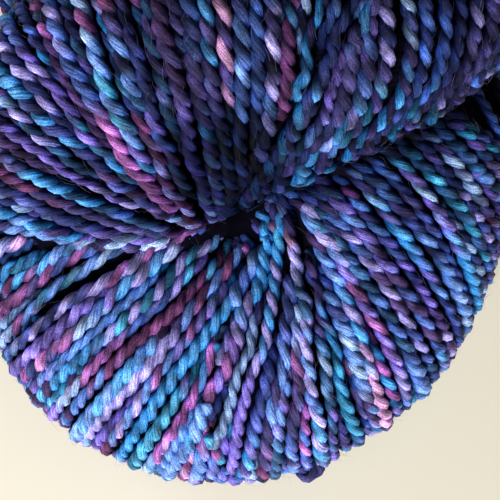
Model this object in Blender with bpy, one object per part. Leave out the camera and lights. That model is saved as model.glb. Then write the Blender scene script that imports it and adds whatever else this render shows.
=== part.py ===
"""A hank of two-ply wool yarn, lying on a table.

The yarn is wound into one long loop, the loop is twisted, and it is then doubled on itself, so that its
two legs lie round each other like a thick two-strand rope. The near end is the fold of that rope, a
puffy bend round a deep pit. The far end is a narrower bend of the same kind.

The legs press together, so the hank is one solid. Its skin is found by looking outward from the hank's
axis, at many places along it, for the last point that is still inside a leg. That is worked out with the
axis straight. The hank is then laid on the table, where it sags, bows a little and presses flat.

The hank lies along +Y with +Z up. The origin is on the table, under the middle of the hank's box.
Lengths are in metres.
"""

import math

import bpy
import numpy as np

# Driving dimensions
BODY_LENGTH = 0.168  # between the centres of the two end bends
HALF_TURNS = 3  # half turns of one leg about the other
TWIST_EASE = 0.120  # share of the body over which the twist starts and stops
TWIST_LEAD = 0.40  # by how much the twist is tighter at the near end
FAN_BEND_RADIUS = 0.0226  # centre line of the near bend
FAR_BEND_RADIUS = 0.0196
SMOOTHING = 0.0050  # rounds the join of bend and body
# How the hank changes along its axis, which starts at the middle of the near bend: the distance from the
# axis to a leg's centre line, half the leg's thickness, and the axis's height over the table. The hank
# is puffiest where the legs first cross, and both ends sag to the table.
PROFILE = {
    "y": (-0.0120, 0.0300, 0.0800, 0.1340, 0.1740),
    "offset": (FAN_BEND_RADIUS, 0.0255, 0.0205, 0.0205, FAR_BEND_RADIUS),
    "thickness": (0.0236, 0.0250, 0.0225, 0.0225, 0.0205),
    "height": (0.0160, 0.0318, 0.0298, 0.0298, 0.0142),
}
SWAY = 0.0030  # sideways bow of the whole hank
FLATTENING = 0.76  # the hank settles under its own weight
REST_DEPTH = 0.0012  # softness of the flat spots where it presses on the table

# Sampling
LINE_POINTS = 1600  # of the leg's centre line
POINTS_AROUND = 64  # of the skin, in each section across the hank
SECTION_STEP = 0.0029
TIP_TURN_DEG = 11.0  # between sections on the round tip of a bend
REACH = 0.060  # farther from the axis than any leg
HALVINGS = 26  # of that reach, while the skin is looked for
EASINGS = 2  # times that the sharpest steps in the skin are rounded

YARN_COLOUR = (0.105, 0.095, 0.270, 1.0)
YARN_ROUGHNESS = 0.85


def clear_scene():
    for obj in list(bpy.data.objects):
        bpy.data.objects.remove(obj, do_unlink=True)


def smooth_step(value, low, high):
    """0 below low, 1 above high, and an eased ramp between them."""
    share = np.clip((value - low) / (high - low), 0.0, 1.0)
    return share * share * (3.0 - 2.0 * share)


def twist_angle(y):
    """How far the legs have turned about the hank's axis at y, with an eased start and stop."""
    share = np.clip(y / BODY_LENGTH, 0.0, 1.0)
    ease = TWIST_EASE
    start = np.minimum(share, ease)
    middle = np.clip(share - ease, 0.0, 1.0 - 2.0 * ease)
    stop = np.clip(share - (1.0 - ease), 0.0, ease)
    turned = (start**2 / (2.0 * ease) + middle + stop - stop**2 / (2.0 * ease)) / (1.0 - ease)
    turned = turned + TWIST_LEAD * turned * (1.0 - turned) ** 2
    return math.pi * HALF_TURNS * turned


def profile(column, y):
    """A column of the profile at y, with an eased change from each row to the next."""
    rows = PROFILE["y"]
    value = np.full_like(y, PROFILE[column][0])
    for i in range(len(rows) - 1):
        change = PROFILE[column][i + 1] - PROFILE[column][i]
        value = value + change * smooth_step(y, rows[i], rows[i + 1])
    return value


def raw_centre_line():
    """The closed centre line of the doubled loop: from the tip of the near bend, up one leg, round the
    far bend and back down the other leg."""
    y = np.linspace(0.0, BODY_LENGTH, LINE_POINTS)
    turn = twist_angle(y)
    offset = profile("offset", y)
    leg_up = np.stack([offset * np.cos(turn), y, -offset * np.sin(turn)], axis=1)
    leg_down = (leg_up * [-1.0, 1.0, -1.0])[::-1]
    bend = np.linspace(0.0, math.pi, LINE_POINTS // 4)
    level = np.zeros_like(bend)
    far_y = BODY_LENGTH + FAR_BEND_RADIUS * np.sin(bend)
    far_bend = np.stack([leg_up[-1, 0] * np.cos(bend), far_y, level], axis=1)
    near_bend = -FAN_BEND_RADIUS * np.stack([np.cos(bend), np.sin(bend), level], axis=1)
    half = len(bend) // 2
    parts = [near_bend[half:-1], leg_up[:-1], far_bend[:-1], leg_down[:-1], near_bend[:half]]
    return np.concatenate(parts)


def evenly_spaced(line):
    """A closed line with its points moved to equal spacing, and that spacing."""
    closed = np.concatenate([line, line[:1]])
    lengths = np.concatenate([[0.0], np.cumsum(np.linalg.norm(np.diff(closed, axis=0), axis=1))])
    places = np.linspace(0.0, lengths[-1], LINE_POINTS, endpoint=False)
    return np.stack([np.interp(places, lengths, closed[:, k]) for k in range(3)], axis=1), places[1]


def centre_line():
    """The closed centre line, with the joins of bends and body rounded."""
    line, step = evenly_spaced(raw_centre_line())
    waves = np.fft.rfftfreq(LINE_POINTS, d=step) * 2.0 * math.pi
    damping = np.exp(-0.5 * (waves * SMOOTHING) ** 2)[:, None]
    return np.fft.irfft(np.fft.rfft(line, axis=0) * damping, n=LINE_POINTS, axis=0)


def section_places(line):
    """Where the sections lie along the axis: crowded on the round tips, even between them."""
    turns = np.arange(1, int(60.0 / TIP_TURN_DEG) + 1) * math.radians(TIP_TURN_DEG)
    depths = 1.0 - np.cos(turns)
    near_leg = PROFILE["thickness"][0]
    far_leg = PROFILE["thickness"][-1]
    first = line[:, 1].min() - near_leg
    last = line[:, 1].max() + far_leg
    near = first + near_leg * depths
    far = last - far_leg * depths[::-1]
    count = int(round((far[0] - near[-1]) / SECTION_STEP))
    return first, last, np.concatenate([near, np.linspace(near[-1], far[0], count + 1)[1:-1], far])


def skin_distances(places, ways, line, radii):
    """How far the skin is from the axis, for each section and each way outward."""
    distances = np.zeros(ways.shape[:2])
    for i, y in enumerate(places):
        close = np.abs(line[:, 1] - y) < radii.max()
        centres = line[close]
        limits = radii[close] ** 2
        inside = np.zeros(len(ways[i]))
        outside = np.full(len(ways[i]), REACH)
        for _ in range(HALVINGS):
            middle = (inside + outside) / 2.0
            points = ways[i] * middle[:, None]
            points[:, 1] = y
            gaps = ((points[:, None, :] - centres[None, :, :]) ** 2).sum(axis=2)
            within = (gaps < limits[None, :]).any(axis=1)
            inside = np.where(within, middle, inside)
            outside = np.where(within, outside, middle)
        distances[i] = inside
    return distances


def eased(distances):
    """Rounds the sharpest steps in the skin, as soft yarn would."""
    around = (np.roll(distances, 1, axis=1) + np.roll(distances, -1, axis=1)) / 2.0
    distances = (distances + around) / 2.0
    along = distances.copy()
    along[1:-1] = (distances[2:] + distances[:-2]) / 2.0
    return (distances + along) / 2.0


def settled(points):
    """The straight hank laid on the table: sagging ends, a slight bow and flat spots."""
    y = points[:, 1]
    x = points[:, 0] + SWAY * np.sin(math.pi * y / BODY_LENGTH)
    z = points[:, 2] * FLATTENING + profile("height", y)
    soft = (z + REST_DEPTH) ** 2 / (4.0 * REST_DEPTH)
    z = np.where(z >= REST_DEPTH, z, np.where(z <= -REST_DEPTH, 0.0, soft))
    return np.stack([x, y, z], axis=1)


def skin_points():
    """The skin's two end points and, between them, its sections, one after another."""
    line = centre_line()
    radii = profile("thickness", line[:, 1])
    first, last, places = section_places(line)
    # The points of a section turn with the legs, so that a row of them keeps to the valley between two.
    around = 2.0 * math.pi * np.arange(POINTS_AROUND) / POINTS_AROUND
    angles = around[None, :] + twist_angle(places)[:, None]
    ways = np.stack([np.cos(angles), np.zeros_like(angles), -np.sin(angles)], axis=2)
    distances = skin_distances(places, ways, line, radii)
    for _ in range(EASINGS):
        distances = eased(distances)
    points = ways * distances[..., None]
    points[..., 1] = places[:, None]
    ends = np.array([[0.0, first, 0.0], [0.0, last, 0.0]])
    return np.concatenate([ends, points.reshape(-1, 3)]), len(places)


def skin_faces(sections):
    """Triangles of a closed skin: a fan at each end, and bands between the sections."""
    faces = []
    final = 2 + (sections - 1) * POINTS_AROUND
    for j in range(POINTS_AROUND):
        k = (j + 1) % POINTS_AROUND
        faces.append((0, 2 + k, 2 + j))
        faces.append((1, final + j, final + k))
    for i in range(sections - 1):
        row = 2 + i * POINTS_AROUND
        after = row + POINTS_AROUND
        for j in range(POINTS_AROUND):
            k = (j + 1) % POINTS_AROUND
            faces.append((row + j, row + k, after + k))
            faces.append((row + j, after + k, after + j))
    return faces


def yarn_material():
    material = bpy.data.materials.new("wool_yarn")
    material.use_nodes = True
    shader = material.node_tree.nodes["Principled BSDF"]
    shader.inputs["Base Color"].default_value = YARN_COLOUR
    shader.inputs["Roughness"].default_value = YARN_ROUGHNESS
    shader.inputs["Metallic"].default_value = 0.0
    return material


def add_hank():
    points, sections = skin_points()
    points = settled(points)
    middle = (points.min(axis=0) + points.max(axis=0)) / 2.0
    points -= middle * [1.0, 1.0, 0.0]
    mesh = bpy.data.meshes.new("hank")
    mesh.from_pydata(points.tolist(), [], skin_faces(sections))
    mesh.materials.append(yarn_material())
    mesh.polygons.foreach_set("use_smooth", [True] * len(mesh.polygons))
    mesh.update()
    hank = bpy.data.objects.new("hank", mesh)
    bpy.context.scene.collection.objects.link(hank)
    return hank


clear_scene()
add_hank()
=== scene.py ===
import math

import bmesh
import bpy
import numpy as np
from bpy.props import FloatProperty, FloatVectorProperty, IntProperty, PointerProperty
from bpy.types import Operator, Panel, PropertyGroup
from mathutils import Matrix, Vector


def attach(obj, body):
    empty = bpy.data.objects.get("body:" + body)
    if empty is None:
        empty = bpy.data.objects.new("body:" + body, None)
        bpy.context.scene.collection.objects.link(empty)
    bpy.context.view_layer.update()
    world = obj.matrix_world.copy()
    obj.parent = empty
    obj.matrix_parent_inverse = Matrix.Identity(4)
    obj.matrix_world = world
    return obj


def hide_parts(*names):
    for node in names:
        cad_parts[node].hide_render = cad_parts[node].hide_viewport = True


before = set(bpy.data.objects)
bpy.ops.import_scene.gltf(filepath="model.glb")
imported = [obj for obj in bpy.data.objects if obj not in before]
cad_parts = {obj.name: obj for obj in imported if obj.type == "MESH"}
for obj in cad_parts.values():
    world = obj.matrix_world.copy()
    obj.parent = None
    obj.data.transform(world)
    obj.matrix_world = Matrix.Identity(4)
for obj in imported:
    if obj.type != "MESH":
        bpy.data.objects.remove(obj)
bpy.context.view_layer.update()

bl_info = {
    "name": "Hank of yarn",
    "version": (1, 0, 0),
    "blender": (4, 5, 0),
    "location": "View3D > Sidebar > Yarn",
    "description": "Builds a twisted hank of hand-dyed two-ply wool yarn on a pale table",
    "category": "Add Mesh",
}

SEED = 4211

# The leg that both bends and the body are made of. The profile says how the hank changes along its axis,
# which starts at the middle of the near bend: the distance from the axis to a leg's centre line, half the
# leg's thickness, and the axis's height over the table.
LINE_POINTS = 1600  # of the leg's centre line
PROFILE = {
    "y": (-0.0120, 0.0300, 0.0800, 0.1340, 0.1740),
    "offset": (0.0226, 0.0255, 0.0205, 0.0205, 0.0196),
    "thickness": (0.0236, 0.0250, 0.0225, 0.0225, 0.0205),
    "height": (0.0160, 0.0318, 0.0298, 0.0298, 0.0142),
}
MIDDLE = (0.00134, 0.08091)  # of the hank's box, from the middle of the near bend

# Direction of the turns of yarn where they cross the top of the leg, seen from above, in degrees
# anticlockwise from the hank's right, by how far along the leg that is from the tip of the near bend, to
# the left (below 0) or to the right. They curl by so many degrees for each radian round the leg outward.
TURN_WAYS = {
    "along": (-0.120, -0.110, -0.100, -0.090, -0.080, -0.070, -0.060, -0.050, -0.040, -0.030,
              -0.020, -0.010, 0.000, 0.010, 0.020, 0.030, 0.040, 0.050, 0.060, 0.070, 0.080),
    "degrees": (62, 63, 68, 94, 106, 130, 160, 176, 198, 209,
                227, 237, 250, 270, 297, 311, 321, 334, 356, 382, 395),
    "curl": (14, 18, 16, 8, -3, -14, -11, -9, 7, 15,
             7, -2, -10, -7, -5, -13, -14, -8, 0, 0, 0),
}
FAN_START = (-0.155, -0.120)  # along the leg, where the turns begin to have these directions
FAN_STOP = (0.045, 0.075)
LEAN_LIMITS = (-45.0, 76.0)  # degrees from straight across the leg
TURN_STEP = 0.00014  # of leg between the points of a turn
PROBE = 0.0002  # of leg over which a slope is measured
SLANT_STEP = 0.002  # of leg between the rows of the table of slants
SLANT_TURN = 5  # degrees round the leg between its columns
SLANT_PART = 85  # degrees from the top, down to where a turn looks straight
SLANT_LIMIT = 0.060  # of leg to either side of where a turn crosses the top
SLANT_ROUNDS = 4  # to find a place on the leg that is in line with the last
SLANT_STRIDE = 0.0020  # most that such a round moves a place
SLANT_DAMPING = 0.08  # keeps such moves small where the surface is steep
STEEPEST_RETURN = 0.025  # of leg for each radian, where a turn leaves the straight part
BENT_BACK = 130.0  # degrees from the top, below which turns come back to even winding
EASINGS = 160  # rounds in which crowded and parted turns are evened out
EASING_SHARE = 0.25
EASED_STOP = (-0.090, -0.070)  # along the leg, where this stops short of the near bend
EASED_START = (0.052, 0.080)  # and where it starts again
WIDEST_GAP = 1.25  # between neighbouring turns, in widths
LEAST_PARTING = 0.15  # of SLANT_STEP, by which rows may always part
MOST_CLOSING = 0.8  # and come together
MOST_LEAN = 2.0  # slope of a turn along the leg that counts in its distance from its neighbours

# How the turns pack where they are crowded. Each has a rank, and those of high rank sink first.
PRESSED_WIDTH = 0.94  # room that a turn of yarn takes on top, as a share of its width
GOLDEN = 0.6180339887  # spreads the ranks of neighbouring turns
FIRST_RANK = 0.17
CROWDS = (0.5, 9.0, 341)  # turns for each that has room: least, most and number of steps
SINKING = (0.86, 1.14)  # rank times crowding at which a turn starts to sink, and is sunk
LEAST_SPACING = 0.00005  # of turns that pass close over each other
HIDDEN_SINK = 1.12  # in sinks, past which a turn is hidden
HIDDEN_DEPTH = 1.9  # in widths, past which it is hidden inside the other leg
OWN_REACH = 0.060  # of leg either side that isn't counted as another leg
COARSE = 8  # points of a turn from one test of its depth to the next
SHORTEST_RUN = 12  # points of a turn of yarn that shows
WAY_LENGTH = 0.001  # out from a turn, to find which way is out once the hank is laid down
WANDER_CYCLES = (7, 12, 19, 33)  # waves along the whole leg
WANDER_DRAWS = (0.4, 1.0)  # how strong each wave is
WANDER_SHIFTS = (0.03, 0.09)  # of a wave, from a turn to its neighbour
LIFT_SHARE = 0.8  # of the wander, that a turn strays up and down
COMMON_SHARE = 1.6  # and that it strays together with its neighbours

# How the yarn is made of its two plies
PLY_RADIUS = 0.325  # of a ply, as a share of the yarn's width
PLY_OFFSET = 0.195  # of a ply's centre line from the yarn's, as a share of its width
PLY_POINTS = 6  # round a ply
LEAST_STEPS = 4  # along a ply
ANY_WAY = (0.3, 0.5, 0.8)  # that isn't along a ply, to start its rings from
PRESS_SOFTNESS = 0.0006  # over the table
PHASES = (0.0, 6.0)  # where a ripple or a twist may start
THICKNESS_SPREAD = 0.8  # from turn to turn, as a share of the unevenness
WIDTH_RIPPLES = ((0.013, 0.6), (0.0047, 0.4))  # length along the yarn, and share of the unevenness
TWIST_RIPPLE = (0.017, 4.0)
PLY_RIPPLE = (0.0071, 0.5)
CLOSE_Y = (0.040, 0.050)  # along the hank's axis, where the photograph stops looking closely
CLOSE_Z = (-0.012, -0.004)  # over the axis, from where it looks
NEAR_PART = 0.035  # along the axis, up to which a run of yarn is one of the near turns
SHARED_PIECES = 4  # that the turns of the near bend, or of the body, are split into
LOOP_PLACE = (0.0166, -0.1250, 0.0180)  # of the small loop at the edge of the near bend
LOOP_SIZE = 0.62  # half its width, in widths of yarn
LOOP_DEPTH = 1.5  # in halves of its width
LOOP_ROOT = 0.2  # how far its ends are in the hank, in the same
LOOP_LEAN = 0.35
LOOP_PAST = 0.35  # radians past a half turn at each end
LOOP_POINTS = 60

# Loose fibres, which start on the yarn and rise over it in a part of a wave
FIBRE_RADIUS = 0.000020
FIBRE_TAPER = 0.55
FIBRE_RINGS = 4
FIBRE_POINTS = 3  # round it
FIBRE_LENGTHS = (0.0012, 0.0044)
FIBRE_RISES = (0.0001, 0.0011)  # over the yarn
FIBRE_SLACK = (0.2, 1.0)  # share of that rise
FIBRE_WAVE = 1.9  # radians of the wave that it rises in
FIBRE_TILT = 1.2  # radians either side of straight out
FIBRE_ROOT = 0.42  # from the yarn's middle, in widths
FIBRE_REACH = 0.9  # how far it goes forward, as a share of its length
FIBRE_BOW = 0.30  # and sideways
FIBRE_FLOOR = 0.0002  # over the table
FIBRE_TONES = (0.15, 0.85)  # share of the fibres' colour
FIBRES_NEAR = 0.045  # along the axis, up to which they are close together
FEWER_FAR = 0.35  # fibres on the body for each on the near bend
BARE_LEVEL = -0.0009  # a turn lower than this, below its neighbours, has none

# Light and shade painted into the wool's colour
PIT_RADIUS = 0.0022  # of the part of the pit too deep to see into
PIT_WALL = 0.007  # nearer than this, turns on the pit's wall are out of sight below PIT_ANGLE from the top
PIT_ANGLE = math.radians(76.0)
PIT_PART = (-0.012, 0.050)  # along the leg
SHADE_PLACE = (-0.0025, 0.0085)  # middle of the painted shade round the pit, which lies more on its far side
SHADE_SIZE = (0.0165, 0.0138)
SHADE_EDGE = 0.3  # share of the way out to which it is as dark as in its middle
SHADE_LIGHT = 0.07  # share of the light that gets to its middle
VALLEY_LIGHT = 0.06  # share of the light that gets to where two legs touch
VALLEY_DEPTH = 0.0075  # from another leg, where the light is no longer dimmed by it
LEVEL_SHARE = 0.7  # how much a turn's own depth counts in its shade
GAP_HEIGHTS = (-0.12, 0.50)  # over the yarn's middle, in widths, where the dye goes from dim to full
HIGHLIGHT_HEIGHTS = (0.20, 0.55)  # and where a painted pale highlight on the ridges starts and is full
# how strongly that painted highlight pales the dye
RIDGE_HIGHLIGHT = 0.10
DEEP_TINT = (1.20, 1.08, 0.85)  # light in the gaps has come off other blue wool: red fades the most
CORE_DEPTH = 0.0024  # of the inner turns, below the hank's skin
CORE_FLOOR = 0.0012  # over the table
CORE_GRAIN = 2.2  # how much lighter its grain is
SAME_PLACE = 1e-6  # distance within which points of its mesh are one

# Dye colours of the wool, as sRGB hex
DYES = {
    "deep_violet": "#2e2252",
    "violet": "#544090",
    "royal_blue": "#30509c",
    "cornflower": "#5480cc",
    "sky": "#2c8ed2",
    "pale_blue": "#98b8e8",
    "teal": "#126a88",
    "dark_teal": "#0a3654",
    "navy": "#171f56",
    "lavender": "#9488cc",
    "magenta": "#7a3a76",
    "pink": "#cf93c4",
    "burgundy": "#571b40",
    "plum": "#34143e",
}
# How much of each dye shows in each part of the hank, in the order of DYES. The parts are named by their
# direction from the pit in degrees, anticlockwise from the hank's right.
DYE_SHARES = {
    90: [17, 8, 13, 6, 7, 3, 10, 13, 18, 4, 1.5, 0.5, 1, 4],
    150: [15, 13, 11, 7, 7, 8, 6, 6, 12, 10, 4, 3, 2, 4],
    200: [11, 13, 10, 10, 8, 9, 5, 4, 7, 11, 5, 4, 2, 4],
    235: [10, 14, 11, 14, 12, 6, 10, 6, 5, 10, 4, 2, 4, 4],
    275: [11, 15, 11, 13, 11, 6, 10, 5, 5, 12, 4, 2, 2, 3],
    330: [9, 11, 13, 14, 15, 6, 9, 5, 6, 9, 4, 2, 1, 3],
    400: [16, 8, 13, 7, 8, 4, 8, 11, 18, 3, 1, 0.5, 1, 4],
    450: [17, 8, 13, 6, 7, 3, 10, 13, 18, 4, 1.5, 0.5, 1, 4],
}
# Painted light and shade on the dyes, by the same directions: how much lighter or darker each part of the
# hank is painted, for how the lamps fall on it
PAINTED_LIGHT = {90: 0.45, 120: 0.80, 150: 1.20, 200: 1.10, 235: 1.40, 275: 1.90, 330: 1.90, 400: 0.74, 450: 0.45}
PALEST = 0.68  # the wool's own paleness, where it takes hardly any dye
BLEED = 0.11  # share of its neighbours' dyes in each run of colour
SAME_AGAIN = 0.35  # chance that a dye goes on past a break
NEARLY_ALL = 0.9999  # of the shares, so that no draw falls past the last dye
RUN_SPREAD = (-0.1, 0.55)  # mean and spread of the logarithm of a run's length, in usual runs
TINT_SPREAD = 0.16  # of how light a run of colour is
UPTAKE_WAVES = (0.0041, 0.0067, 0.0108)  # lengths over which a ply takes more and less dye
UPTAKE = 0.39  # how strongly

# The place that the camera looks straight down on, from the middle of the near bend along the picture's
# sides, and its height over the table
FOCUS = (0.0026, -0.0049, 0.0)
FOCUS_HEIGHT = 0.030
SENSOR_WIDTH = 36.0
TABLE_SIZE = 6.0
# Lights: name, place from there, size and power
LIGHTS = (
    ("window", (-0.24, -0.88, 0.56), 0.45, 19.5),
    ("side_window", (-0.90, 0.50, 0.34), 0.40, 4.0),
    ("room", (0.3, 0.2, 1.0), 0.8, 1.2),
)
LIGHT_COLOUR = (1.0, 0.99, 0.965)
SKY_COLOUR = "#eef3ff"
SKY_STRENGTH = 0.09


def linear(hex_colour):
    """An sRGB hex colour as linear red, green and blue."""
    channels = [int(hex_colour[i : i + 2], 16) / 255.0 for i in (1, 3, 5)]
    return [c / 12.92 if c <= 0.04045 else ((c + 0.055) / 1.055) ** 2.4 for c in channels]


# ---- sizes and colours a user would change


class HankForm(PropertyGroup):
    """The doubled, twisted loop that the yarn makes, as in the CAD model."""

    body_length: FloatProperty(
        name="Body length", description="Between the centres of the two end bends", default=0.168,
        unit="LENGTH",
    )
    half_turns: IntProperty(
        name="Half turns", description="Half turns of one leg about the other", default=3,
    )
    twist_ease: FloatProperty(
        name="Twist ease", description="Share of the body over which the twist starts and stops",
        default=0.12, subtype="FACTOR",
    )
    twist_lead: FloatProperty(
        name="Twist lead", description="By how much the twist is tighter at the near end", default=0.40,
        subtype="FACTOR",
    )
    near_bend: FloatProperty(
        name="Near bend radius", description="Centre line of the near bend", default=0.0226,
        unit="LENGTH",
    )
    far_bend: FloatProperty(
        name="Far bend radius", description="Centre line of the far bend", default=0.0196, unit="LENGTH",
    )
    smoothing: FloatProperty(
        name="Smoothing", description="Rounds the join of bend and body", default=0.005, unit="LENGTH",
    )
    sway: FloatProperty(
        name="Sway", description="Sideways bow of the whole hank", default=0.0030, unit="LENGTH",
    )
    flattening: FloatProperty(
        name="Flattening", description="How far the hank settles under its own weight", default=0.76,
        subtype="FACTOR",
    )


class YarnTurns(PropertyGroup):
    """The turns of two-ply yarn that the hank is wound from."""

    starts: IntProperty(
        name="Turns round a leg", description="Turns of yarn that lie side by side round a leg",
        default=42,
    )
    lay_pitch: FloatProperty(
        name="Lay pitch", description="Length of leg in which a turn of yarn goes once round it",
        default=0.044, unit="LENGTH",
    )
    yarn_width: FloatProperty(
        name="Yarn width", description="Thickness of the two-ply yarn", default=0.00262, unit="LENGTH",
    )
    ply_pitch: FloatProperty(
        name="Ply pitch", description="Length of yarn in which its plies go once round each other",
        default=0.0062, unit="LENGTH",
    )
    sink: FloatProperty(
        name="Sink", description="How far a crowded turn of yarn sinks below its neighbours",
        default=0.0021, unit="LENGTH",
    )
    wander: FloatProperty(
        name="Wander", description="How far a turn of yarn strays from its even place", default=0.00050,
        unit="LENGTH",
    )
    unevenness: FloatProperty(
        name="Unevenness", description="How much the handspun yarn varies in thickness and twist",
        default=0.16, subtype="FACTOR",
    )
    fine_step: FloatProperty(
        name="Near step", description="Between the rings of a ply where the photograph looks closely",
        default=0.00080, unit="LENGTH",
    )
    coarse_step: FloatProperty(
        name="Far step", description="Between the rings of a ply elsewhere", default=0.00155,
        unit="LENGTH",
    )


class WoolLook(PropertyGroup):
    """The wool's dye, surface and painted shade."""

    run_length: FloatProperty(
        name="Colour run", description="Usual length of one dye colour along a ply", default=0.011,
        unit="LENGTH",
    )
    blend_length: FloatProperty(
        name="Colour blend", description="Over which one dye colour turns into the next", default=0.007,
        unit="LENGTH",
    )
    # Nearly black: painted shade for the turns deep inside, where hardly any light gets to
    shaded_core_colour: FloatVectorProperty(
        name="Inner turns", description="Colour of the turns deep inside the hank",
        default=linear("#08070f"), subtype="COLOR",
    )
    gap_shade: FloatProperty(
        name="Gap shade",
        description="How much darker the dye looks in the gaps between turns than on their tops",
        default=0.74, subtype="FACTOR",
    )
    alike: FloatProperty(
        name="Plies alike",
        description="Share of the colour runs that both plies of the yarn have in common", default=0.62,
        subtype="FACTOR",
    )
    fibres: IntProperty(
        name="Loose fibres", description="Fibres that stand out from the yarn", default=8600,
    )
    halo_colour: FloatVectorProperty(
        name="Fibre colour", description="Colour of the fibres that stand out from the yarn",
        default=linear("#8d86b8"), subtype="COLOR",
    )


class TableStage(PropertyGroup):
    """The table, lights and camera."""

    table_colour: FloatVectorProperty(
        name="Table", description="Colour of the plain table", default=linear("#e4ddc9"), subtype="COLOR",
    )
    camera_height: FloatProperty(
        name="Camera height", description="Above the top of the near bend", default=0.36, unit="LENGTH",
    )
    view_width: FloatProperty(
        name="View width", description="Width of the photograph's view at the near bend", default=0.0833,
        unit="LENGTH",
    )
    camera_turn: FloatProperty(
        name="Camera turn", description="How far the camera is turned about the vertical",
        default=math.radians(4.0), subtype="ANGLE",
    )


# ---- the hank's form


def smooth_step(value, low, high):
    """0 below low, 1 above high, and an eased ramp between them."""
    share = np.clip((value - low) / (high - low), 0.0, 1.0)
    return share * share * (3.0 - 2.0 * share)


def twist_angle(form, y):
    """How far the legs have turned about the hank's axis at y."""
    share = np.clip(y / form.body_length, 0.0, 1.0)
    ease = form.twist_ease
    start = np.minimum(share, ease)
    middle = np.clip(share - ease, 0.0, 1.0 - 2.0 * ease)
    stop = np.clip(share - (1.0 - ease), 0.0, ease)
    turned = (start**2 / (2.0 * ease) + middle + stop - stop**2 / (2.0 * ease)) / (1.0 - ease)
    turned = turned + form.twist_lead * turned * (1.0 - turned) ** 2
    return math.pi * form.half_turns * turned


def profile(column, y):
    """A column of the profile at y, with an eased change from each row to the next."""
    rows = PROFILE["y"]
    value = np.full_like(y, PROFILE[column][0])
    for i in range(len(rows) - 1):
        change = PROFILE[column][i + 1] - PROFILE[column][i]
        value = value + change * smooth_step(y, rows[i], rows[i + 1])
    return value


def raw_centre_line(form):
    """The closed centre line of the doubled loop: from the tip of the near bend, up one leg, round the
    far bend and back down the other leg."""
    y = np.linspace(0.0, form.body_length, LINE_POINTS)
    turn = twist_angle(form, y)
    offset = profile("offset", y)
    leg_up = np.stack([offset * np.cos(turn), y, -offset * np.sin(turn)], axis=1)
    leg_down = (leg_up * [-1.0, 1.0, -1.0])[::-1]
    bend = np.linspace(0.0, math.pi, LINE_POINTS // 4)
    level = np.zeros_like(bend)
    far_y = form.body_length + form.far_bend * np.sin(bend)
    far_bend = np.stack([leg_up[-1, 0] * np.cos(bend), far_y, level], axis=1)
    near_bend = -form.near_bend * np.stack([np.cos(bend), np.sin(bend), level], axis=1)
    half = len(bend) // 2
    parts = [near_bend[half:-1], leg_up[:-1], far_bend[:-1], leg_down[:-1], near_bend[:half]]
    return np.concatenate(parts)


def lengths_along(points):
    """How far along their own line points are."""
    return np.concatenate([[0.0], np.cumsum(np.linalg.norm(np.diff(points, axis=0), axis=1))])


def evenly_spaced(line):
    """A closed line with its points moved to equal spacing, and that spacing."""
    closed = np.concatenate([line, line[:1]])
    lengths = lengths_along(closed)
    places = np.linspace(0.0, lengths[-1], LINE_POINTS, endpoint=False)
    return np.stack([np.interp(places, lengths, closed[:, k]) for k in range(3)], axis=1), places[1]


def unit(vectors):
    """Vectors of the same ways and length 1."""
    return vectors / np.linalg.norm(vectors, axis=-1, keepdims=True)


class Leg:
    """The closed leg that both bends and the body are made of, before it is laid on the table."""

    def __init__(self, form):
        line, step = evenly_spaced(raw_centre_line(form))
        wave_numbers = np.fft.rfftfreq(LINE_POINTS, d=step) * math.tau
        damping = np.exp(-0.5 * (wave_numbers * form.smoothing) ** 2)[:, None]
        self.line = np.fft.irfft(np.fft.rfft(line, axis=0) * damping, n=LINE_POINTS, axis=0)
        self.step = step
        self.length = step * LINE_POINTS
        self.radius = profile("thickness", self.line[:, 1])
        self.tangent = unit(np.roll(self.line, -1, axis=0) - np.roll(self.line, 1, axis=0))
        # Outward from the hank's axis, or in a bend from the bend's middle
        axis = self.line * [0.0, 1.0, 0.0]
        axis[:, 1] = np.clip(axis[:, 1], 0.0, form.body_length)
        outward = self.line - axis
        outward = outward - self.tangent * (outward * self.tangent).sum(axis=1, keepdims=True)
        self.outward = unit(outward)
        self.side = np.cross(self.outward, self.tangent)
        change = np.roll(self.outward, -1, axis=0) - np.roll(self.outward, 1, axis=0)
        self.rolling = (change * self.side).sum(axis=1) / (2.0 * step)
        # Round the leg, angles are counted from its top
        self.top = unit(self.outward * self.outward[:, 2:] + self.side * self.side[:, 2:])
        self.across = unit(self.side * self.outward[:, 2:] - self.outward * self.side[:, 2:])

    def way(self, places, angle):
        """Outward ways from the leg's centre line, at angles from its top."""
        top = np.cos(angle)[..., None] * self.at(self.top, places)
        return top + np.sin(angle)[..., None] * self.at(self.across, places)

    def surface(self, places, angle):
        """Points on the leg's surface."""
        radius = self.at(self.radius, places)
        return self.at(self.line, places) + self.way(places, angle) * radius[..., None]

    def at(self, values, places):
        """Values along the closed leg at these lengths."""
        share = np.mod(places, self.length) / self.step
        low = np.floor(share).astype(int) % LINE_POINTS
        part = share - np.floor(share)
        high = (low + 1) % LINE_POINTS
        if values.ndim == 2:
            part = part[..., None]
        return values[low] * (1.0 - part) + values[high] * part


def centred(values, period):
    """Values of what repeats, from half a period below 0 to half a period above."""
    return np.mod(values + period / 2.0, period) - period / 2.0


def laid(form, points):
    """The straight hank's points laid on the table: sagging ends and a slight bow."""
    y = points[:, 1]
    x = points[:, 0] + form.sway * np.sin(math.pi * y / form.body_length)
    z = points[:, 2] * form.flattening + profile("height", y)
    return np.stack([x - MIDDLE[0], y - MIDDLE[1], z], axis=1)


def pressed(z, floor, softness):
    """Heights kept above a floor, with a soft start."""
    z = z - floor
    soft = (z + softness) ** 2 / (4.0 * softness)
    return floor + np.where(z >= softness, z, np.where(z <= -softness, 0.0, soft))


# ---- the turns of yarn


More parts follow.
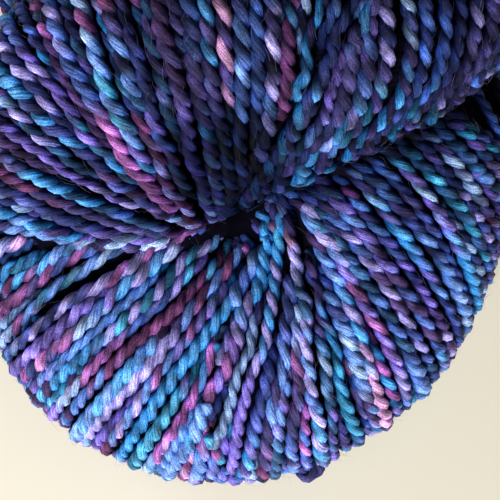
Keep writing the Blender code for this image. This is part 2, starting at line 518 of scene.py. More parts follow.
def waves(rng, places, length, amplitude, row=0):
    """A smooth closed random wave along the leg, that changes a little from row to row."""
    total = np.zeros_like(places)
    for cycles in WANDER_CYCLES:
        share = amplitude * rng.uniform(*WANDER_DRAWS) / 2.0
        start = rng.random() + row * rng.uniform(*WANDER_SHIFTS)
        total += share * np.sin(math.tau * (cycles * places / length + start))
    return total


def plan_ways(leg, places, along):
    """Directions of the turns of yarn, seen from above, where they cross the top of the leg."""
    out = -unit(leg.at(leg.across, places)[:, :2])
    back = -unit(leg.at(leg.tangent, places)[:, :2])
    turned = np.radians(np.interp(along, TURN_WAYS["along"], TURN_WAYS["degrees"]))
    ways = np.stack([np.cos(turned), np.sin(turned)], axis=1)
    lean = np.arctan2((ways * back).sum(axis=1), (ways * out).sum(axis=1))
    lean = np.clip(lean, *np.radians(LEAN_LIMITS))
    curl = np.radians(np.interp(along, TURN_WAYS["along"], TURN_WAYS["curl"]))
    return np.arctan2(out[:, 1], out[:, 0]) - lean, curl


def straight_halves(leg, places, along, angles):
    """How far along the leg a turn that crosses its top at these places is at angles from the top, inward
    and then outward, so that it looks straight from above but for its curl."""
    heading, curl = plan_ways(leg, places, along)
    halves = []
    for sign in (1.0, -1.0):
        offset = np.zeros_like(places)
        columns = [offset]
        start = leg.surface(places, offset)[:, :2]
        for angle in angles[1:]:
            way = heading - curl * sign * (angle - angles[1] / 2.0)
            square = np.stack([-np.sin(way), np.cos(way)], axis=1)
            turned = np.full_like(places, sign * angle)
            for _ in range(SLANT_ROUNDS):
                here = leg.surface(places + offset, turned)[:, :2]
                ahead = leg.surface(places + offset + PROBE, turned)[:, :2]
                miss = ((here - start) * square).sum(axis=1)
                gain = ((ahead - here) * square).sum(axis=1) / PROBE
                move = miss * gain / (gain * gain + SLANT_DAMPING)
                offset = offset - np.clip(move, -SLANT_STRIDE, SLANT_STRIDE)
                offset = np.clip(offset, -SLANT_LIMIT, SLANT_LIMIT)
            start = leg.surface(places + offset, turned)[:, :2]
            columns.append(offset)
        halves.append(columns)
    return halves


def turned_back(columns, angles, below, final):
    """The columns below the straight ones, which bend smoothly back to where even winding ends."""
    room = math.pi - angles[-1]
    share = (below[:, None] - angles[-1]) / room
    leaving = (columns[-1] - columns[-2]) / angles[1]
    leaving = np.clip(leaving, -STEEPEST_RETURN, STEEPEST_RETURN) * room
    arriving = final * (1.0 - angles[-1] / math.pi)
    bent = columns[-1] * (2.0 * share**3 - 3.0 * share**2 + 1.0) + leaving * share * (1.0 - share) ** 2
    bent = bent + final * (3.0 * share**2 - 2.0 * share**3) + arriving * (share**3 - share**2)
    return list(bent)


def eased_apart(table, leg, yarn, places, along, angles):
    """The table of slants, changed so that neighbours neither cross nor part so far that the surface
    between them is bare."""
    turned = np.broadcast_to(angles, table.shape)
    eased = 1.0 - smooth_step(along, *EASED_STOP) * (1.0 - smooth_step(along, *EASED_START))
    eased = eased[:, None]
    widest = WIDEST_GAP * yarn.yarn_width * yarn.starts / yarn.lay_pitch
    for _ in range(EASINGS):
        at = places[:, None] + table
        here = leg.surface(at, turned)
        stretch = np.linalg.norm(leg.surface(at + PROBE, turned) - here, axis=2) / PROBE
        lean = stretch * np.gradient(table, angles, axis=1) / leg.at(leg.radius, at)
        stretch = stretch / np.sqrt(1.0 + np.minimum(lean, MOST_LEAN) ** 2)
        change = np.roll(table, -1, axis=0) - table
        most = SLANT_STEP * np.maximum(widest / stretch - 1.0, LEAST_PARTING)
        excess = eased * (change - np.clip(change, -MOST_CLOSING * SLANT_STEP, most))
        table = table + EASING_SHARE * (excess - np.roll(excess, 1, axis=0))
    return table


def slants(leg, yarn):
    """How far along the leg a turn of yarn is from where it crosses the top, at angles round the leg."""
    places = np.arange(0.0, leg.length, SLANT_STEP)
    along = np.where(places < leg.length / 2.0, places, places - leg.length)
    angles = np.radians(np.arange(0, 181, SLANT_TURN))
    straight = angles[: SLANT_PART // SLANT_TURN + 1]
    inner, outer = straight_halves(leg, places, along, straight)
    below = angles[len(straight) :]
    inner += turned_back(inner, straight, below, yarn.lay_pitch / 2.0)
    outer += turned_back(outer, straight, below, -yarn.lay_pitch / 2.0)
    table = np.stack(outer[:0:-1] + inner, axis=1)
    angles = np.concatenate([-angles[:0:-1], angles])
    # Elsewhere the turns are wound evenly
    even = angles * yarn.lay_pitch / math.tau
    shown = smooth_step(along, *FAN_START) * (1.0 - smooth_step(along, *FAN_STOP))
    table = eased_apart(even + shown[:, None] * (table - even), leg, yarn, places, along, angles)
    kept = 1.0 - smooth_step(np.abs(angles), math.radians(BENT_BACK), math.pi)
    return angles, even + kept * (table - even)


def slanted(slant, leg, top_place, angle):
    """The table's offsets at top crossings and angles from the top."""
    angles, table = slant
    row = np.mod(top_place, leg.length) / SLANT_STEP
    low = np.floor(row).astype(int)
    part = row - low
    column = (np.clip(angle, angles[0], angles[-1]) - angles[0]) / (angles[1] - angles[0])
    left = np.minimum(np.floor(column).astype(int), len(angles) - 2)
    share = column - left
    rows = [np.mod(low, len(table)), np.mod(low + 1, len(table))]
    ends = [table[r, left] * (1.0 - share) + table[r, left + 1] * share for r in rows]
    return ends[0] * (1.0 - part) + ends[1] * part


def packing(yarn):
    """How the turns of yarn pack side by side where they are crowded: for a range of crowding, how much of
    each turn still lies on top, and how far it moves aside, in widths, so that those on top fill the room."""
    crowds = np.linspace(*CROWDS)
    ranks = (np.arange(yarn.starts) * GOLDEN + FIRST_RANK) % 1.0
    on_top = 1.0 - smooth_step(ranks[None, :] * crowds[:, None], *SINKING)
    total = on_top.sum(axis=1, keepdims=True)
    aside = np.cumsum(on_top, axis=1) - on_top / 2.0
    aside = aside - (np.arange(yarn.starts) + 0.5) * total / yarn.starts
    aside = aside - aside.mean(axis=1, keepdims=True)
    return crowds, ranks, on_top, aside


def turn_places(yarn, leg):
    """What all turns of yarn share: even places along the leg, and there the first one's angle from the
    leg's top if all were wound evenly."""
    places = np.arange(0.0, leg.length, TURN_STEP)
    whole = round(leg.length / yarn.lay_pitch * yarn.starts) / yarn.starts
    rolling = np.cumsum(leg.at(leg.rolling, places)) * TURN_STEP
    rolled = math.tau * round(rolling[-1] / math.tau)
    rolling = rolling + places / leg.length * (rolled - rolling[-1])
    up = np.unwrap(np.arctan2(leg.at(leg.side, places)[:, 2], leg.at(leg.outward, places)[:, 2]))
    angle = math.tau * whole * places / leg.length - rolling - up
    return {"places": places, "angle": angle, "packing": packing(yarn), "slant": slants(leg, yarn)}


def turned_places(places, angle, yarn, leg, slant):
    """Where along the leg the evenly wound places of a turn of yarn come to lie."""
    turned = centred(angle, math.tau)
    from_top = turned * yarn.lay_pitch / math.tau
    return places - from_top + slanted(slant, leg, places - from_top, turned)


def pit_light(places):
    """Share of the light that gets to places round the pit, seen from above."""
    shaded = np.linalg.norm((places - SHADE_PLACE) / SHADE_SIZE, axis=1)
    return SHADE_LIGHT + (1.0 - SHADE_LIGHT) * smooth_step(shaded, SHADE_EDGE, 1.0)


def in_pit(leg, places, angle, points):
    """Where a turn is too deep in the near bend's pit, or too far down its wall, to be seen."""
    from_pit = np.linalg.norm(points[:, :2], axis=1)
    along = centred(places, leg.length)
    wall = (centred(angle, math.tau) > PIT_ANGLE) & (along > PIT_PART[0]) & (along < PIT_PART[1])
    return (from_pit < PIT_RADIUS) | ((from_pit < PIT_WALL) & wall)


def crowding(yarn, leg, places, beside, angle):
    """How many turns of yarn there are for each that has room on top, from where the next one lies."""
    surface = leg.surface(places, angle)
    ahead = unit(np.gradient(surface, axis=0))
    gap = (leg.surface(beside, angle) - surface) / TURN_STEP
    gap = np.linalg.norm(gap - ahead * (gap * ahead).sum(axis=1, keepdims=True), axis=1)
    spacing = np.maximum(gap * yarn.lay_pitch / yarn.starts, LEAST_SPACING)
    return yarn.yarn_width * PRESSED_WIDTH / spacing


def depths_inside(leg, places, points):
    """How deep points are inside the leg, and inside parts of the leg other than their own. Every second
    point of its centre line is close enough for this."""
    every = np.arange(len(points))
    some = every[::COARSE]
    gaps = points[some][:, None, :] - leg.line[None, ::2, :]
    depths = leg.radius[None, ::2] - np.sqrt((gaps**2).sum(axis=2))
    apart = np.abs(np.mod(places[some], leg.length)[:, None] - leg.step * np.arange(0, LINE_POINTS, 2))
    elsewhere = np.minimum(apart, leg.length - apart) > OWN_REACH
    other = np.interp(every, some, np.where(elsewhere, depths, -1.0).max(axis=1))
    return np.interp(every, some, depths.max(axis=1)), other


def turn_of_yarn(k, yarn, leg, shared):
    """One turn of yarn along the whole leg: its points, outward ways, where it is hidden, how far it is
    over or under its even level, and the share of the light that gets to it."""
    rng = np.random.default_rng(SEED + k)
    common = np.random.default_rng(SEED)
    evenly = shared["places"]
    angle = shared["angle"] + math.tau * k / yarn.starts
    places = turned_places(evenly, angle, yarn, leg, shared["slant"])
    beside = turned_places(evenly + TURN_STEP, angle, yarn, leg, shared["slant"])
    crowd = crowding(yarn, leg, places, beside, angle)
    crowds, ranks, on_top, aside = shared["packing"]
    top_share = np.interp(crowd, crowds, on_top[:, k])
    depth = yarn.sink * (1.0 - top_share)
    depth = depth + yarn.yarn_width * np.maximum(0.0, ranks[k] * crowd - SINKING[1])
    lift = waves(rng, evenly, leg.length, LIFT_SHARE * yarn.wander)
    stray = waves(rng, evenly, leg.length, yarn.wander)
    stray = stray + waves(common, evenly, leg.length, yarn.wander * COMMON_SHARE, k)
    stray = stray * top_share - np.interp(crowd, crowds, aside[:, k]) * yarn.yarn_width * PRESSED_WIDTH
    way = unit(leg.way(places, angle))
    radius = leg.at(leg.radius, places)
    reach = radius - yarn.yarn_width * 0.5 - depth + lift
    points = leg.at(leg.line, places) + way * reach[:, None]
    # Hidden where it is deep in the hank: below other turns, or inside the other leg
    sunk, valley = depths_inside(leg, places, points)
    hidden = depth > HIDDEN_SINK * yarn.sink
    hidden |= sunk > np.maximum(radius - reach, 0.0) + HIDDEN_DEPTH * yarn.yarn_width
    points = points + unit(np.cross(unit(np.gradient(points, axis=0)), way)) * stray[:, None]
    hidden |= in_pit(leg, places, angle, points)
    light = VALLEY_LIGHT + (1.0 - VALLEY_LIGHT) * smooth_step(-valley, 0.0, VALLEY_DEPTH)
    light = np.minimum(light, pit_light(points[:, :2]))
    return {"straight": points, "way": way, "hidden": hidden, "level": lift - depth, "light": light}


def strand_paths(form, yarn):
    """The visible runs of yarn: for each, its centre points, outward directions and lengths along it."""
    leg = Leg(form)
    shared = turn_places(yarn, leg)
    runs = []
    for k in range(yarn.starts):
        turn = turn_of_yarn(k, yarn, leg, shared)
        shown = laid(form, turn["straight"])
        turn["points"] = shown
        turn["normal"] = unit(laid(form, turn["straight"] + turn["way"] * WAY_LENGTH) - shown)
        turn["length"] = lengths_along(shown)
        edges = np.flatnonzero(np.diff(turn["hidden"].astype(int))) + 1
        bounds = np.concatenate([[0], edges, [len(shown)]])
        for a, b in zip(bounds[:-1], bounds[1:]):
            if not turn["hidden"][a] and b - a >= SHORTEST_RUN:
                run = {key: values[a:b] for key, values in turn.items()}
                run["strand"] = k
                runs.append(run)
    return runs


def ring_places(run, yarn):
    """Lengths along a run at which its plies have rings: closer where the photograph looks."""
    y = run["straight"][:, 1]
    z = run["straight"][:, 2]
    close = (1.0 - smooth_step(y, *CLOSE_Y)) * smooth_step(z, *CLOSE_Z)
    step = yarn.coarse_step + (yarn.fine_step - yarn.coarse_step) * close
    counted = np.concatenate([[0.0], np.cumsum(np.diff(run["length"]) / step[1:])])
    count = max(LEAST_STEPS, int(math.ceil(counted[-1])))
    return np.interp(np.linspace(0.0, counted[-1], count + 1), counted, run["length"])


def dye_runs(strand, wool, total):
    """For each ply of a turn of yarn: the breaks between its colours, and a draw and a tint for each."""
    rng = np.random.default_rng(SEED * 11 + strand)
    breaks = [0.0]
    while breaks[-1] < total:
        breaks.append(breaks[-1] + wool.run_length * math.exp(rng.normal(*RUN_SPREAD)))
    breaks = np.array(breaks)
    draws = rng.random(len(breaks))
    for i in np.flatnonzero(rng.random(len(breaks)) < SAME_AGAIN):
        draws[i] = draws[i - 1]
    plies = []
    for _ in (0, 1):
        own = rng.random(len(breaks)) > wool.alike
        ply_draws = np.where(own, rng.random(len(breaks)), draws)
        ply_breaks = breaks + rng.normal(0.0, wool.blend_length, len(breaks))
        plies.append((np.sort(ply_breaks), ply_draws, rng.normal(0.0, TINT_SPREAD, len(breaks))))
    return plies


def dye_table():
    """The dyes' shares by direction, each row adding up to one, and their colours."""
    shares = np.array(list(DYE_SHARES.values()), float)
    shares /= shares.sum(axis=1, keepdims=True)
    return np.array(list(DYE_SHARES), float), shares, np.array([linear(dye) for dye in DYES.values()])


def dyed(points, lengths, dyes, wool, table):
    """Colours along one ply, with painted light and shade by direction from the pit. Each run of colour turns
    into the next over a short length.
    """
    breaks, draws, tints = dyes
    angles, shares, colours = table
    index = np.clip(np.searchsorted(breaks, lengths, side="right") - 1, 0, len(breaks) - 1)
    picked = {}
    for i in np.unique(index):
        place = points[index == i].mean(axis=0)
        angle = math.degrees(math.atan2(place[1], place[0]))
        angle = (angle - angles[0]) % 360.0 + angles[0]
        row = np.array([np.interp(angle, angles, shares[:, c]) for c in range(len(colours))])
        chosen = int(np.searchsorted(np.cumsum(row), draws[i] * row.sum() * NEARLY_ALL))
        # painted light and shade: this part of the hank is painted lighter or darker for how the lamps fall
        # on it
        light = np.interp(angle, list(PAINTED_LIGHT), list(PAINTED_LIGHT.values()))
        mixed = colours[chosen] * (1.0 - BLEED) + row @ colours / row.sum() * BLEED
        picked[i] = mixed * (1.0 + tints[i]) * light
    out = np.array([picked[i] for i in index])
    half = wool.blend_length / 2.0
    for i in picked:
        if i + 1 in picked:
            edge = breaks[i + 1]
            share = smooth_step(lengths, edge - half, edge + half)[:, None]
            near = np.abs(lengths - edge) < half
            out[near] = (picked[i] * (1.0 - share) + picked[i + 1] * share)[near]
    return out


def ply_tube(centres, radii, ahead, points_round):
    """Rings of a ply or fibre round its own centre line, carried along it without a twist."""
    up = np.zeros_like(centres)
    seed = np.cross(ahead[0], ANY_WAY)
    up[0] = seed / np.linalg.norm(seed)
    for i in range(1, len(centres)):
        carried = up[i - 1] - ahead[i] * (up[i - 1] @ ahead[i])
        up[i] = carried / np.linalg.norm(carried)
    over = np.cross(ahead, up)
    turn = math.tau * np.arange(points_round) / points_round
    ring = np.cos(turn)[None, :, None] * up[:, None, :] + np.sin(turn)[None, :, None] * over[:, None, :]
    return centres[:, None, :] + ring * radii[:, None, None]


class PieceMesh:
    """Collects tubes into one mesh with a map along the plies and a colour at each point: the dye, or a
    fibre's colour, with painted light and shade in it.
    """

    def __init__(self):
        self.points = []
        self.colours = []
        self.quads = []
        self.quad_maps = []
        self.caps = []
        self.cap_maps = []
        self.count = 0

    def add_tube(self, rings, along, colours, points_round):
        """Adds a closed tube, with its map's lengths and a colour for each point."""
        stations = len(rings)
        i = np.repeat(np.arange(stations - 1), points_round)
        j = np.tile(np.arange(points_round), stations - 1)
        near = self.count + i * points_round
        far = near + points_round
        beside = (j + 1) % points_round
        self.quads.append(np.stack([near + j, near + beside, far + beside, far + j], axis=1))
        u0, u1 = along[i], along[i + 1]
        v0, v1 = j / points_round, (j + 1) / points_round
        self.quad_maps.append(np.stack([u0, v0, u0, v1, u1, v1, u1, v0], axis=1).reshape(-1, 2))
        ring = self.count + np.arange(points_round)
        self.caps += [ring[::-1], ring + (stations - 1) * points_round]
        self.cap_maps += [np.tile([end, 0.5], (points_round, 1)) for end in (along[0], along[-1])]
        self.points.append(rings.reshape(-1, 3))
        self.colours.append(colours.reshape(-1, 3))
        self.count += stations * points_round

    def build(self, name):
        """The tubes as one object, smooth all over."""
        points = np.concatenate(self.points)
        quads = np.concatenate(self.quads)
        caps = np.array(self.caps)
        mesh = bpy.data.meshes.new(name)
        mesh.vertices.add(len(points))
        mesh.vertices.foreach_set("co", points.astype(np.float32).ravel())
        loops = np.concatenate([quads.ravel(), caps.ravel()])
        mesh.loops.add(len(loops))
        mesh.loops.foreach_set("vertex_index", loops.astype(np.int32))
        cap_starts = quads.size + np.arange(len(caps)) * caps.shape[1]
        starts = np.concatenate([np.arange(len(quads)) * 4, cap_starts])
        mesh.polygons.add(len(starts))
        mesh.polygons.foreach_set("loop_start", starts.astype(np.int32))
        mesh.update(calc_edges=True)
        mesh.validate()
        mesh.polygons.foreach_set("use_smooth", [True] * len(mesh.polygons))
        places = np.concatenate(self.quad_maps + self.cap_maps).astype(np.float32)
        mesh.uv_layers.new(name="ply_map").uv.foreach_set("vector", places.ravel())
        rgba = np.ones((len(points), 4), np.float32)
        rgba[:, :3] = np.clip(np.concatenate(self.colours), 0.0, 1.0)
        # the 'dye' attribute holds the dye with painted light, shade and highlight in it
        mesh.attributes.new("dye", "FLOAT_COLOR", "POINT").data.foreach_set("color", rgba.ravel())
        piece = bpy.data.objects.new(name, mesh)
        bpy.context.scene.collection.objects.link(piece)
        return piece


def at_places(run, name, places):
    """One of a run's columns at these lengths along it."""
    values = run[name]
    if values.ndim == 1:
        return np.interp(places, run["length"], values)
    return np.stack([np.interp(places, run["length"], values[:, c]) for c in range(values.shape[1])], axis=1)


def ripple(rng, places, length, amount):
    """A wave along the yarn that starts anywhere."""
    return amount * np.sin(places / length + rng.uniform(*PHASES))


def with_shade(colours, height, light, yarn, wool):
    """Colours along a ply with painted light and shade, at heights over the yarn's middle: painted shade that
    is darker and bluer down in the gaps, and a painted pale highlight on the ridges."""
    height = height / yarn.yarn_width
    shade = light[:, None] * (1.0 - wool.gap_shade * (1.0 - smooth_step(height, *GAP_HEIGHTS)))
    # painted highlight: the ridges are painted paler, towards the colour's brightest channel
    highlight = RIDGE_HIGHLIGHT * smooth_step(height, *HIGHLIGHT_HEIGHTS)
    highlighted = (colours.max(axis=1, keepdims=True) - colours)[:, None, :] * highlight[:, :, None]
    return (colours[:, None, :] + highlighted) * shade[:, :, None] ** DEEP_TINT


def add_strand(piece, run, yarn, wool, plies, table):
    """Adds a run of two-ply yarn to a piece: two plies that go round each other, S-plied. The yarn is
    handspun, so its thickness and twist vary."""
    rng = np.random.default_rng(SEED * 3 + run["strand"])
    places = ring_places(run, yarn)
    centre = at_places(run, "points", places)
    straight = at_places(run, "straight", places)
    ahead = unit(np.gradient(centre, axis=0))
    normal = at_places(run, "normal", places)
    normal = unit(normal - ahead * (normal * ahead).sum(axis=1, keepdims=True))
    over = np.cross(ahead, normal)
    uneven = yarn.unevenness
    width = yarn.yarn_width * (1.0 + uneven * rng.uniform(-THICKNESS_SPREAD, THICKNESS_SPREAD))
    for length, amount in WIDTH_RIPPLES:
        width = width * (1.0 + ripple(rng, places, length, amount * uneven))
    pitch = yarn.ply_pitch * (1.0 + uneven * rng.uniform(-1.0, 1.0))
    twist = -math.tau * places / pitch + rng.uniform(*PHASES)
    twist = twist + ripple(rng, places, TWIST_RIPPLE[0], TWIST_RIPPLE[1] * uneven)
    level = LEVEL_SHARE * at_places(run, "level", places)
    light = at_places(run, "light", places)
    for ply in (0, 1):
        phase = twist + math.pi * ply
        radius = PLY_RADIUS * width * (1.0 + ripple(rng, places, PLY_RIPPLE[0], PLY_RIPPLE[1] * uneven))
        swing = np.cos(phase)[:, None] * normal + np.sin(phase)[:, None] * over
        path = centre + swing * (PLY_OFFSET * width)[:, None]
        path[:, 2] = pressed(path[:, 2], PLY_RADIUS * yarn.yarn_width, PRESS_SOFTNESS)
        rings = ply_tube(path, radius, unit(np.gradient(path, axis=0)), PLY_POINTS)
        rings[..., 2] = np.maximum(rings[..., 2], 0.0)
        colours = dyed(straight, places, plies[ply], wool, table)
        uptake = sum(np.sin(math.tau * (places / wave + rng.random())) for wave in UPTAKE_WAVES)
        colours = colours * np.exp(UPTAKE * uptake)[:, None]
        colours = colours * np.minimum(1.0, PALEST / colours.max(axis=1, keepdims=True))
        # painted shade down in the gaps and a painted highlight on the ridges
        height = ((rings - centre[:, None, :]) * normal[:, None, :]).sum(axis=2) + level[:, None]
        colours = with_shade(colours, height, light, yarn, wool)
        piece.add_tube(rings, places / (math.tau * PLY_RADIUS * yarn.yarn_width), colours, PLY_POINTS)


def stray_loop(runs, yarn):
    """The small loop of yarn that stands out at the edge of the near bend."""
    nearest = min(runs, key=lambda run: np.linalg.norm(run["points"] - LOOP_PLACE, axis=1).min())
    place = nearest["points"][np.linalg.norm(nearest["points"] - LOOP_PLACE, axis=1).argmin()]
    out = unit(place * [1.0, 1.0, 0.0] + [MIDDLE[0], MIDDLE[1], 0.0])
    across = np.array([-out[1], out[0], 0.0])
    turn = np.linspace(-LOOP_PAST, math.pi + LOOP_PAST, LOOP_POINTS)[:, None]
    size = LOOP_SIZE * yarn.yarn_width
    deep = size * (LOOP_DEPTH * np.sin(turn) - LOOP_ROOT)
    points = place + across * (size * np.cos(turn)) + out * deep
    points[:, 2:] += LOOP_LEAN * size * np.cos(turn)
    return {
        "strand": yarn.starts,
        "points": points,
        "straight": points + [MIDDLE[0], MIDDLE[1], 0.0],
        "normal": np.tile([0.0, 0.0, 1.0], (LOOP_POINTS, 1)),
        "length": lengths_along(points),
        "level": np.zeros(LOOP_POINTS),
        "light": np.ones(LOOP_POINTS),
    }


def add_fibres(piece, runs, yarn, wool):
    """Adds the loose fibres that stand out from the yarn, most of them where the photograph looks."""
    rng = np.random.default_rng(SEED + 1)
    lengths = []
    for run in runs:
        close = run["straight"][:, 1].mean() < FIBRES_NEAR and run["straight"][:, 2].mean() > CLOSE_Z[0]
        lengths.append((run["length"][-1] - run["length"][0]) * (1.0 if close else FEWER_FAR))
    share = np.array(lengths) / sum(lengths)
    along = np.linspace(0.0, 1.0, FIBRE_RINGS)
    radii = FIBRE_RADIUS * (1.0 - FIBRE_TAPER * along)
    for i in rng.choice(len(runs), size=wool.fibres, p=share):
        run = runs[i]
        place = rng.integers(1, len(run["points"]) - 1)
        if run["level"][place] < BARE_LEVEL:
            continue
        ahead = unit(run["points"][place + 1] - run["points"][place - 1]) * rng.choice([-1.0, 1.0])
        normal = unit(run["normal"][place])
        over = np.cross(ahead, normal)
        tilt = rng.uniform(-FIBRE_TILT, FIBRE_TILT)
        out = math.cos(tilt) * normal + math.sin(tilt) * over
        length = rng.uniform(*FIBRE_LENGTHS)
        rise = rng.uniform(*FIBRE_RISES) * rng.uniform(*FIBRE_SLACK)
        bow = rng.normal(0.0, FIBRE_BOW) * length
        start = run["points"][place] + out * FIBRE_ROOT * yarn.yarn_width
        path = start + ahead * (along * length * FIBRE_REACH)[:, None] + over * (bow * along**2)[:, None]
        path = path + out * (rise * np.sin(FIBRE_WAVE * along))[:, None]
        path[:, 2] = np.maximum(path[:, 2], FIBRE_FLOOR)
        rings = ply_tube(path, radii, unit(np.gradient(path, axis=0)), FIBRE_POINTS)
        # dimmed by the painted light and shade of the yarn it stands from
        tone = np.array(wool.halo_colour) * rng.uniform(*FIBRE_TONES) * run["light"][place]
        piece.add_tube(rings, along, np.tile(tone, (FIBRE_RINGS * FIBRE_POINTS, 1)), FIBRE_POINTS)


# ---- materials


def add_node(tree, kind, settings=None, links=None):
    """Adds a node with its settings, and links its inputs from the sockets given."""
    node = tree.nodes.new(kind)
    for name, value in (settings or {}).items():
        if hasattr(node, name):
            setattr(node, name, value)
        else:
            node.inputs[name].default_value = value
    for name, socket in (links or {}).items():
        tree.links.new(socket, node.inputs[name])
    return node


def new_material(name):
    """A material with only its shader and output."""
    material = bpy.data.materials.new(name)
    material.use_nodes = True
    tree = material.node_tree
    return material, tree, tree.nodes["Principled BSDF"]


def wool_yarn():
    """Hand-dyed wool in two plies, matt, with fine fibres that lean with each ply's own twist."""
    material, tree, shader = new_material("hand_dyed_wool")
    shader.inputs["Roughness"].default_value = 0.50
    shader.inputs["IOR"].default_value = 1.55  # keratin
    shader.inputs["Specular IOR Level"].default_value = 0.045
    # Fibres lean 20 degrees to the ply. One unit of the map is a ply's girth of 5.35 mm, round it and along
    # it, so the streaks are about 0.3 mm wide and 3 mm long.
    plies = add_node(tree, "ShaderNodeUVMap", {"uv_map": "ply_map"}).outputs["UV"]
    turned = {"Rotation": (0.0, 0.0, math.radians(20.0))}
    lean = add_node(tree, "ShaderNodeMapping", turned, {"Vector": plies}).outputs["Vector"]
    stretched = {"Scale": (1.8, 18.0, 1.0)}
    streaks = add_node(tree, "ShaderNodeMapping", stretched, {"Vector": lean}).outputs["Vector"]
    strands = {"Scale": 1.0, "Detail": 4.0, "Roughness": 0.65}
    fibres = add_node(tree, "ShaderNodeTexNoise", strands, {"Vector": streaks}).outputs["Fac"]
    # The dye takes unevenly, in patches some 3 mm long, and short fibres stand up less than 0.2 mm apart
    places = add_node(tree, "ShaderNodeTexCoord").outputs["Object"]
    patches = {"Scale": 330.0, "Detail": 1.0}
    uptake = add_node(tree, "ShaderNodeTexNoise", patches, {"Vector": places}).outputs["Fac"]
    specks = {"Scale": 5200.0, "Detail": 1.0}
    fuzz = add_node(tree, "ShaderNodeTexNoise", specks, {"Vector": places}).outputs["Fac"]
    # Each of them darkens and lightens the dye
    # The 'dye' attribute holds the dye with painted light, shade and highlight in it
    colour = add_node(tree, "ShaderNodeAttribute", {"attribute_name": "dye"}).outputs["Color"]
    limits = ("From Min", "From Max", "To Min", "To Max")
    for pattern, tones in (
        (fibres, (0.38, 0.62, 0.48, 1.70)),
        (uptake, (0.35, 0.65, 0.60, 1.50)),
        (fuzz, (0.35, 0.65, 0.58, 1.45)),
    ):
        tone = add_node(tree, "ShaderNodeMapRange", dict(zip(limits, tones)), {"Value": pattern})
        links = {"Vector": colour, "Scale": tone.outputs["Result"]}
        colour = add_node(tree, "ShaderNodeVectorMath", {"operation": "SCALE"}, links).outputs["Vector"]
    tree.links.new(colour, shader.inputs["Base Color"])
    depth = {"Strength": 1.0, "Distance": 0.00030}
    bump = add_node(tree, "ShaderNodeBump", depth, {"Height": fibres})
    tree.links.new(bump.outputs["Normal"], shader.inputs["Normal"])
    return material


def loose_wool():
    """Single wool fibres: pale, as they show no more than a trace of the dye."""
    material, tree, shader = new_material("loose_wool_fibre")
    shader.inputs["Roughness"].default_value = 0.5
    shader.inputs["IOR"].default_value = 1.55
    # The 'dye' attribute holds the fibre's colour dimmed by painted shade
    dye = add_node(tree, "ShaderNodeAttribute", {"attribute_name": "dye"})
    tree.links.new(dye.outputs["Color"], shader.inputs["Base Color"])
    return material


def inner_wool(wool):
    """The turns deep in the hank, painted nearly black as shade, since hardly any light gets to them."""
    material, tree, shader = new_material("inner_wool")
    shader.inputs["Roughness"].default_value = 0.95
    shader.inputs["Specular IOR Level"].default_value = 0.0
    # The grain is about 1 mm wide
    places = add_node(tree, "ShaderNodeTexCoord").outputs["Object"]
    grain = add_node(tree, "ShaderNodeTexNoise", {"Scale": 900.0, "Detail": 2.0}, {"Vector": places})
    mix = add_node(tree, "ShaderNodeMix", {"data_type": "RGBA"}, {"Factor": grain.outputs["Fac"]})
    mix.inputs[6].default_value = list(wool.shaded_core_colour) + [1.0]
    mix.inputs[7].default_value = [c * CORE_GRAIN for c in wool.shaded_core_colour] + [1.0]
    shade = add_node(tree, "ShaderNodeAttribute", {"attribute_name": "shade"})
    links = {"Vector": mix.outputs[2], "Scale": shade.outputs["Fac"]}
    shaded = add_node(tree, "ShaderNodeVectorMath", {"operation": "SCALE"}, links)
    tree.links.new(shaded.outputs["Vector"], shader.inputs["Base Color"])
    return material


def table_top(stage):
    """A plain matt table."""
    material, _, shader = new_material("pale_table")
    shader.inputs["Base Color"].default_value = list(stage.table_colour) + [1.0]
    shader.inputs["Roughness"].default_value = 0.6
    return material


# ---- pieces


def finish_piece(piece, material):
    """Gives a piece its one material, and says that it moves with the body and takes the hank's place."""
    piece.data.materials.clear()
    piece.data.materials.append(material)
    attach(piece, "root")
    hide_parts("hank")


class YARN_OT_inner_turns(Operator):
    """Add the turns of yarn deep inside the hank, which close the gaps between the outer turns"""

    bl_idname = "yarn.inner_turns"
    bl_label = "Inner turns"

    def execute(self, context):
        wool = context.scene.yarn_look
        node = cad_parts["hank"]
        piece = bpy.data.objects.new("inner_turns", node.data.copy())
        context.scene.collection.objects.link(piece)
        shell = bmesh.new()
        shell.from_mesh(piece.data)
        bmesh.ops.remove_doubles(shell, verts=shell.verts, dist=SAME_PLACE)
        shell.normal_update()
        for vert in shell.verts:
            vert.co -= vert.normal * CORE_DEPTH
            vert.co.z = max(vert.co.z, CORE_FLOOR)
        shell.to_mesh(piece.data)
        shell.free()
        places = np.array([vert.co[:2] for vert in piece.data.vertices]) + MIDDLE
        shade = piece.data.attributes.new("shade", "FLOAT", "POINT")
        shade.data.foreach_set("value", pit_light(places).astype(np.float32))
        finish_piece(piece, inner_wool(wool))
        return {"FINISHED"}


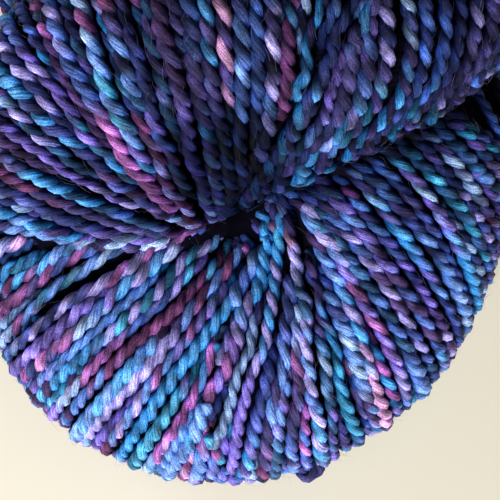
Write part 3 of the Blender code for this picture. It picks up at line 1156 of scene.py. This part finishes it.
class YARN_OT_outer_turns(Operator):
    """Add the outer turns of two-ply yarn, as a few pieces of some turns each"""

    bl_idname = "yarn.outer_turns"
    bl_label = "Outer turns"

    def execute(self, context):
        scene = context.scene
        yarn, wool = scene.yarn_turns, scene.yarn_look
        runs = strand_paths(scene.hank_form, yarn)
        if not runs:
            raise RuntimeError("no yarn shows on the hank")
        runs.append(stray_loop(runs, yarn))
        totals = {}
        for run in runs:
            totals[run["strand"]] = max(totals.get(run["strand"], 0.0), run["length"][-1])
        plies = {strand: dye_runs(strand, wool, total) for strand, total in totals.items()}
        table = dye_table()
        groups = {}
        for run in runs:
            part = "near" if run["straight"][:, 1].mean() < NEAR_PART else "body"
            number = run["strand"] % SHARED_PIECES + 1
            groups.setdefault(f"{part}_turns_{number}", []).append(run)
        material = wool_yarn()
        for name, members in sorted(groups.items()):
            mesh = PieceMesh()
            for run in members:
                add_strand(mesh, run, yarn, wool, plies[run["strand"]], table)
            finish_piece(mesh.build(name), material)
        return {"FINISHED"}


class YARN_OT_loose_fibres(Operator):
    """Add the loose fibres that stand out from the yarn"""

    bl_idname = "yarn.loose_fibres"
    bl_label = "Loose fibres"

    def execute(self, context):
        scene = context.scene
        yarn, wool = scene.yarn_turns, scene.yarn_look
        mesh = PieceMesh()
        add_fibres(mesh, strand_paths(scene.hank_form, yarn), yarn, wool)
        finish_piece(mesh.build("loose_fibres"), loose_wool())
        return {"FINISHED"}


class YARN_OT_stage(Operator):
    """Add the table, the soft lights and the camera"""

    bl_idname = "yarn.stage"
    bl_label = "Table, lights and camera"

    def execute(self, context):
        scene = context.scene
        stage = scene.table_stage
        bpy.ops.mesh.primitive_plane_add(size=TABLE_SIZE, location=(0.0, 0.0, 0.0))
        table = context.object
        table.name = "table"
        table.data.materials.append(table_top(stage))
        turn = stage.camera_turn
        focus = Matrix.Rotation(turn, 3, "Z") @ Vector(FOCUS)
        focus += Vector((-MIDDLE[0], -MIDDLE[1], FOCUS_HEIGHT))
        camera = bpy.data.cameras.new("camera")
        camera.sensor_width = SENSOR_WIDTH
        camera.lens = SENSOR_WIDTH * stage.camera_height / stage.view_width
        holder = bpy.data.objects.new("camera", camera)
        holder.location = focus + Vector((0.0, 0.0, stage.camera_height))
        holder.rotation_euler = (0.0, 0.0, turn)
        camera.clip_start = 0.01
        scene.collection.objects.link(holder)
        scene.camera = holder
        world = bpy.data.worlds.new("daylight")
        world.use_nodes = True
        sky = world.node_tree.nodes["Background"]
        sky.inputs["Color"].default_value = linear(SKY_COLOUR) + [1.0]
        sky.inputs["Strength"].default_value = SKY_STRENGTH
        scene.world = world
        scene.view_settings.view_transform = "Standard"
        for name, place, size, power in LIGHTS:
            light = bpy.data.lights.new(name, "AREA")
            light.size = size
            light.energy = power
            light.color = LIGHT_COLOUR
            lamp = bpy.data.objects.new(name, light)
            lamp.location = focus + Vector(place)
            lamp.rotation_euler = (focus - lamp.location).to_track_quat("-Z", "Y").to_euler()
            scene.collection.objects.link(lamp)
        return {"FINISHED"}


class YARN_PT_hank(Panel):
    """Buttons for the hank's pieces"""

    bl_label = "Hank of yarn"
    bl_idname = "YARN_PT_hank"
    bl_space_type = "VIEW_3D"
    bl_region_type = "UI"
    bl_category = "Yarn"

    def draw(self, context):
        column = self.layout.column()
        for operator in OPERATORS:
            column.operator(operator.bl_idname)


GROUPS = {
    "hank_form": HankForm,
    "yarn_turns": YarnTurns,
    "yarn_look": WoolLook,
    "table_stage": TableStage,
}
OPERATORS = (YARN_OT_inner_turns, YARN_OT_outer_turns, YARN_OT_loose_fibres, YARN_OT_stage)


def register():
    for group in GROUPS.values():
        bpy.utils.register_class(group)
    for operator in OPERATORS:
        bpy.utils.register_class(operator)
    bpy.utils.register_class(YARN_PT_hank)
    for name, group in GROUPS.items():
        setattr(bpy.types.Scene, name, PointerProperty(type=group))


def unregister():
    for name in GROUPS:
        delattr(bpy.types.Scene, name)
    bpy.utils.unregister_class(YARN_PT_hank)
    for operator in reversed(OPERATORS):
        bpy.utils.unregister_class(operator)
    for group in reversed(list(GROUPS.values())):
        bpy.utils.unregister_class(group)


def main():
    register()
    bpy.ops.yarn.inner_turns()
    bpy.ops.yarn.outer_turns()
    bpy.ops.yarn.loose_fibres()
    bpy.ops.yarn.stage()


if __name__ == "__main__":
    main()
